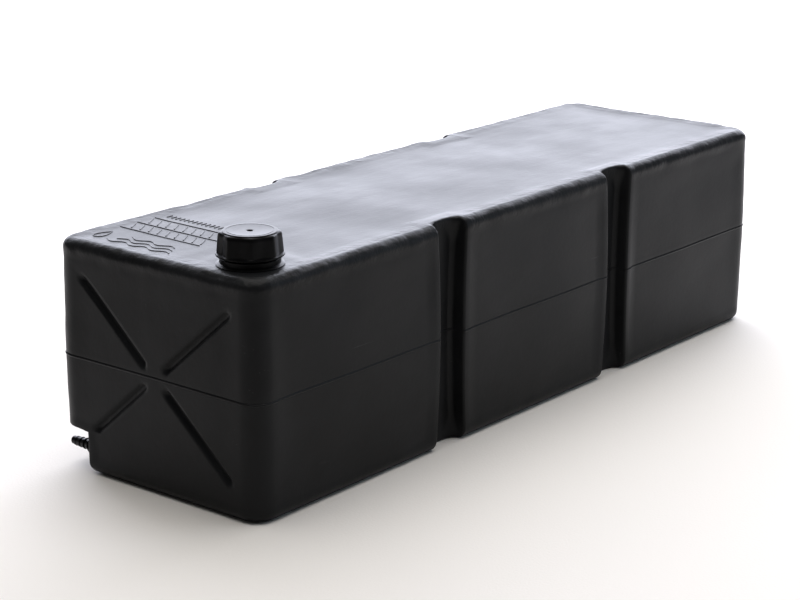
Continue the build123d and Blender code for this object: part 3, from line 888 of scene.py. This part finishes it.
class TANK_OT_relief(bpy.types.Operator):
    """Make the raised marks on the top: waves, a drop and rows of blank bars"""
    bl_idname = "tank.relief"
    bl_label = "Raised marks"

    def execute(self, context):
        s = context.scene.tank_relief
        vertices, edges = [], []
        for points, closed in relief_lines():
            first = len(vertices)
            vertices += [(x, y, HEIGHT) for x, y in points.tolist()]
            edges += [(first + i, first + i + 1) for i in range(len(points) - 1)]
            if closed:
                edges.append((len(vertices) - 1, first))
        wires = bpy.data.meshes.new("relief_lines")
        wires.from_pydata(vertices, edges, [])
        material = bpy.data.materials["moulded_shell_plastic"]
        mesh = grown(linked("relief_lines", wires), *self.tree(s, material), math.radians(50))
        show("raised_marks", mesh, "root", material)
        return {"FINISHED"}

    def tree(self, s, material):
        """The node tree that lays lines and rows of bars on the shell and thickens them, and its inputs."""
        tree = bpy.data.node_groups.new("raised_marks", "GeometryNodeTree")
        sockets = {"Width": s.line_width, "Height": s.line_height, "Bar Pitch": s.bar_pitch,
                   "Bar Length": s.row_height, "Row Pitch": s.row_pitch,
                   "Shell": bpy.data.objects["tank_shell"]}
        graph, given = node_inputs(tree, sockets, True)
        grid = graph.node("GeometryNodeMeshGrid", inputs={
            "Size X": given["Row Pitch"] * (s.rows - 1), "Size Y": given["Bar Pitch"] * (s.bars - 1),
            "Vertices X": s.rows, "Vertices Y": s.bars})
        placed = graph.node("GeometryNodeTransform", inputs={
            "Geometry": grid, "Translation": (SHELL_LOW.x + ROWS_AT[0], ROWS_AT[1], HEIGHT)})
        half, lean = given["Bar Length"] * 0.5, given["Bar Pitch"] * BAR_LEAN
        bar = graph.node("GeometryNodeCurvePrimitiveLine", inputs={
            "Start": graph.point(X=half * -1.0, Y=lean * -1.0), "End": graph.point(X=half, Y=lean)})
        bars = graph.node("GeometryNodeInstanceOnPoints", inputs={"Points": placed, "Instance": bar})
        fine = graph.node("GeometryNodeMeshLine", inputs={
            "Count": 2 * s.bars - 1, "Offset": (0.0, s.bar_pitch / 2, 0.0),
            "Start Location": (SHELL_LOW.x + TICKS_AT[0], TICKS_AT[1], HEIGHT)})
        tick = graph.node("GeometryNodeCurvePrimitiveLine", inputs={
            "Start": (-TICK_HALF, 0, 0), "End": (TICK_HALF, 0, 0)})
        ticks = graph.node("GeometryNodeInstanceOnPoints", inputs={"Points": fine, "Instance": tick})
        free = graph.node("GeometryNodeMeshToCurve", inputs={"Mesh": given["Geometry"]})
        lines = graph.node("GeometryNodeJoinGeometry", inputs={"Geometry": [bars, ticks, free]})
        real = graph.node("GeometryNodeRealizeInstances", inputs={"Geometry": lines})
        dense = graph.node("GeometryNodeResampleCurve", {"mode": "LENGTH"}, {
            "Curve": real, "Length": LINE_SAMPLE})
        shell = graph.node("GeometryNodeObjectInfo", inputs={"Object": given["Shell"]}, output="Geometry")
        place = graph.node("GeometryNodeInputPosition")
        above = graph.node("ShaderNodeVectorMath", {"operation": "ADD"}, {0: place, 1: (0, 0, PROBE)})
        hit = graph.node("GeometryNodeRaycast", inputs={
            "Target Geometry": shell, "Source Position": above, "Ray Direction": (0, 0, -1),
            "Ray Length": 2 * PROBE}, output="Hit Position")
        sink = graph.point(Z=given["Height"] - given["Width"] * 0.5)
        sunk = graph.node("ShaderNodeVectorMath", {"operation": "ADD"}, {0: hit, 1: sink})
        laid = graph.node("GeometryNodeSetPosition", inputs={"Geometry": dense, "Position": sunk})
        section = graph.node("GeometryNodeCurvePrimitiveCircle", inputs={
            "Resolution": 8, "Radius": given["Width"] * 0.5})
        swept = graph.node("GeometryNodeCurveToMesh", inputs={
            "Curve": laid, "Profile Curve": section, "Fill Caps": True})
        graph.painted(swept, material)
        return tree, sockets


# ---- the CAD nodes whose shape stays

class TANK_OT_fittings(bpy.types.Operator):
    """Give the neck, seal, vent and outlet pieces their finishes"""
    bl_idname = "tank.fittings"
    bl_label = "Neck, vent and outlet"

    def execute(self, context):
        neck = moulded_gloss("neck_plastic", "neck", 0.34, 0.00012)
        tail = moulded_gloss("hose_tail_nylon", "tail", 0.30, 0.00012)
        rubber = rubber_seal()
        finishes = {
            "filler_neck": neck,
            "vent_retainer": neck,
            "cap_seal": rubber,
            "outlet_washer": rubber,
            "vent_gauze": turned_metal("gauze_steel", "gauze", 0.30, STEEL_TARNISH),
            "outlet_bush": turned_metal("bush_brass", "bush", 0.28, BRASS_TARNISH),
            "hose_tail": tail,
        }
        for node, material in finishes.items():
            mesh = frame["nodes"][node].data
            mesh.materials.clear()
            mesh.materials.append(material)
        return {"FINISHED"}


# ---- stage

LIGHTS = {  # ahead, to the right, up; height aimed at; width and height; watts; colour
    "back_wall": ((3.2, 0.0, 1.6), 0.2, (6.0, 3.0), 325, (0.855, 0.88, 1.0)),
    "overhead": ((0.1, 0.0, 2.8), 0.0, (4.0, 3.0), 92, (1.0, 0.975, 0.95)),
    "right_fill": ((0.0, 3.0, 1.2), 0.1, (1.5, 2.0), 13, (0.70, 0.84, 1.0)),
}
WORLD_COLOUR, WORLD_STRENGTH = (0.95, 0.97, 1.0, 1.0), 0.06


def emitter(name, place, target, sides, strength, colour):
    """A soft rectangular light that faces a target."""
    light = bpy.data.lights.new(name, "AREA")
    light.shape = "RECTANGLE"
    light.size, light.size_y = sides
    light.energy, light.color = strength, colour
    lamp = linked(name, light)
    lamp.location = place
    lamp.rotation_mode = "QUATERNION"
    lamp.rotation_quaternion = (target - place).to_track_quat("-Z", "Y")


class TANK_OT_stage(bpy.types.Operator):
    """Set the pale floor, the soft studio light and the camera"""
    bl_idname = "tank.stage"
    bl_label = "Stage"

    def execute(self, context):
        s, scene = context.scene.tank_stage, context.scene
        half = s.floor_size / 2
        mesh = bpy.data.meshes.new("floor")
        mesh.from_pydata([(-half, -half, 0), (half, -half, 0), (half, half, 0), (-half, half, 0)], [],
                         [(0, 1, 2, 3)])
        mesh.materials.append(studio_floor(s.floor_colour))
        floor = linked("floor", mesh)

        ahead = Vector((math.cos(s.camera_heading) * math.cos(s.camera_dip),
                        math.sin(s.camera_heading) * math.cos(s.camera_dip), -math.sin(s.camera_dip)))
        level = Vector((ahead.x, ahead.y, 0)).normalized()
        side = Vector((level.y, -level.x, 0))
        for name, ((on, right, up), aim, *kind) in LIGHTS.items():
            emitter(name, level * on + side * right + Vector((0, 0, up)), Vector((0, 0, aim)), *kind)

        world = bpy.data.worlds.new("studio")
        world.use_nodes = True
        sky = world.node_tree.nodes["Background"].inputs
        sky["Color"].default_value, sky["Strength"].default_value = WORLD_COLOUR, WORLD_STRENGTH
        scene.world = world
        scene.view_settings.view_transform = "Standard"

        camera = linked("camera", bpy.data.cameras.new("camera"))
        camera.data.lens, camera.data.sensor_width = s.lens, 36.0
        camera.location = s.camera_place
        camera.rotation_mode = "QUATERNION"
        camera.rotation_quaternion = Quaternion(ahead, s.camera_roll) @ ahead.to_track_quat("-Z", "Y")
        scene.camera = camera
        return {"FINISHED"}


class TANK_PT_panel(bpy.types.Panel):
    """Lists the tank's pieces"""
    bl_idname = "TANK_PT_panel"
    bl_label = "Fresh Water Tank"
    bl_space_type = "VIEW_3D"
    bl_region_type = "UI"
    bl_category = "Tank"

    def draw(self, context):
        for operator in BUILD_ORDER:
            self.layout.operator(operator.bl_idname)


SETTINGS = {"tank_shell": TankShellSettings, "tank_cap": CapSettings, "tank_relief": ReliefSettings,
            "tank_stage": StageSettings}
BUILD_ORDER = (TANK_OT_stage, TANK_OT_shell, TANK_OT_relief, TANK_OT_cap, TANK_OT_fittings)
CLASSES = (*SETTINGS.values(), *BUILD_ORDER, TANK_PT_panel)


def register():
    for cls in CLASSES:
        bpy.utils.register_class(cls)
    for name, cls in SETTINGS.items():
        setattr(bpy.types.Scene, name, PointerProperty(type=cls))


def unregister():
    for name in SETTINGS:
        delattr(bpy.types.Scene, name)
    for cls in reversed(CLASSES):
        bpy.utils.unregister_class(cls)


def main():
    register()
    for operator in BUILD_ORDER:
        group, name = operator.bl_idname.split(".")
        getattr(getattr(bpy.ops, group), name)()


if __name__ == "__main__":
    main()
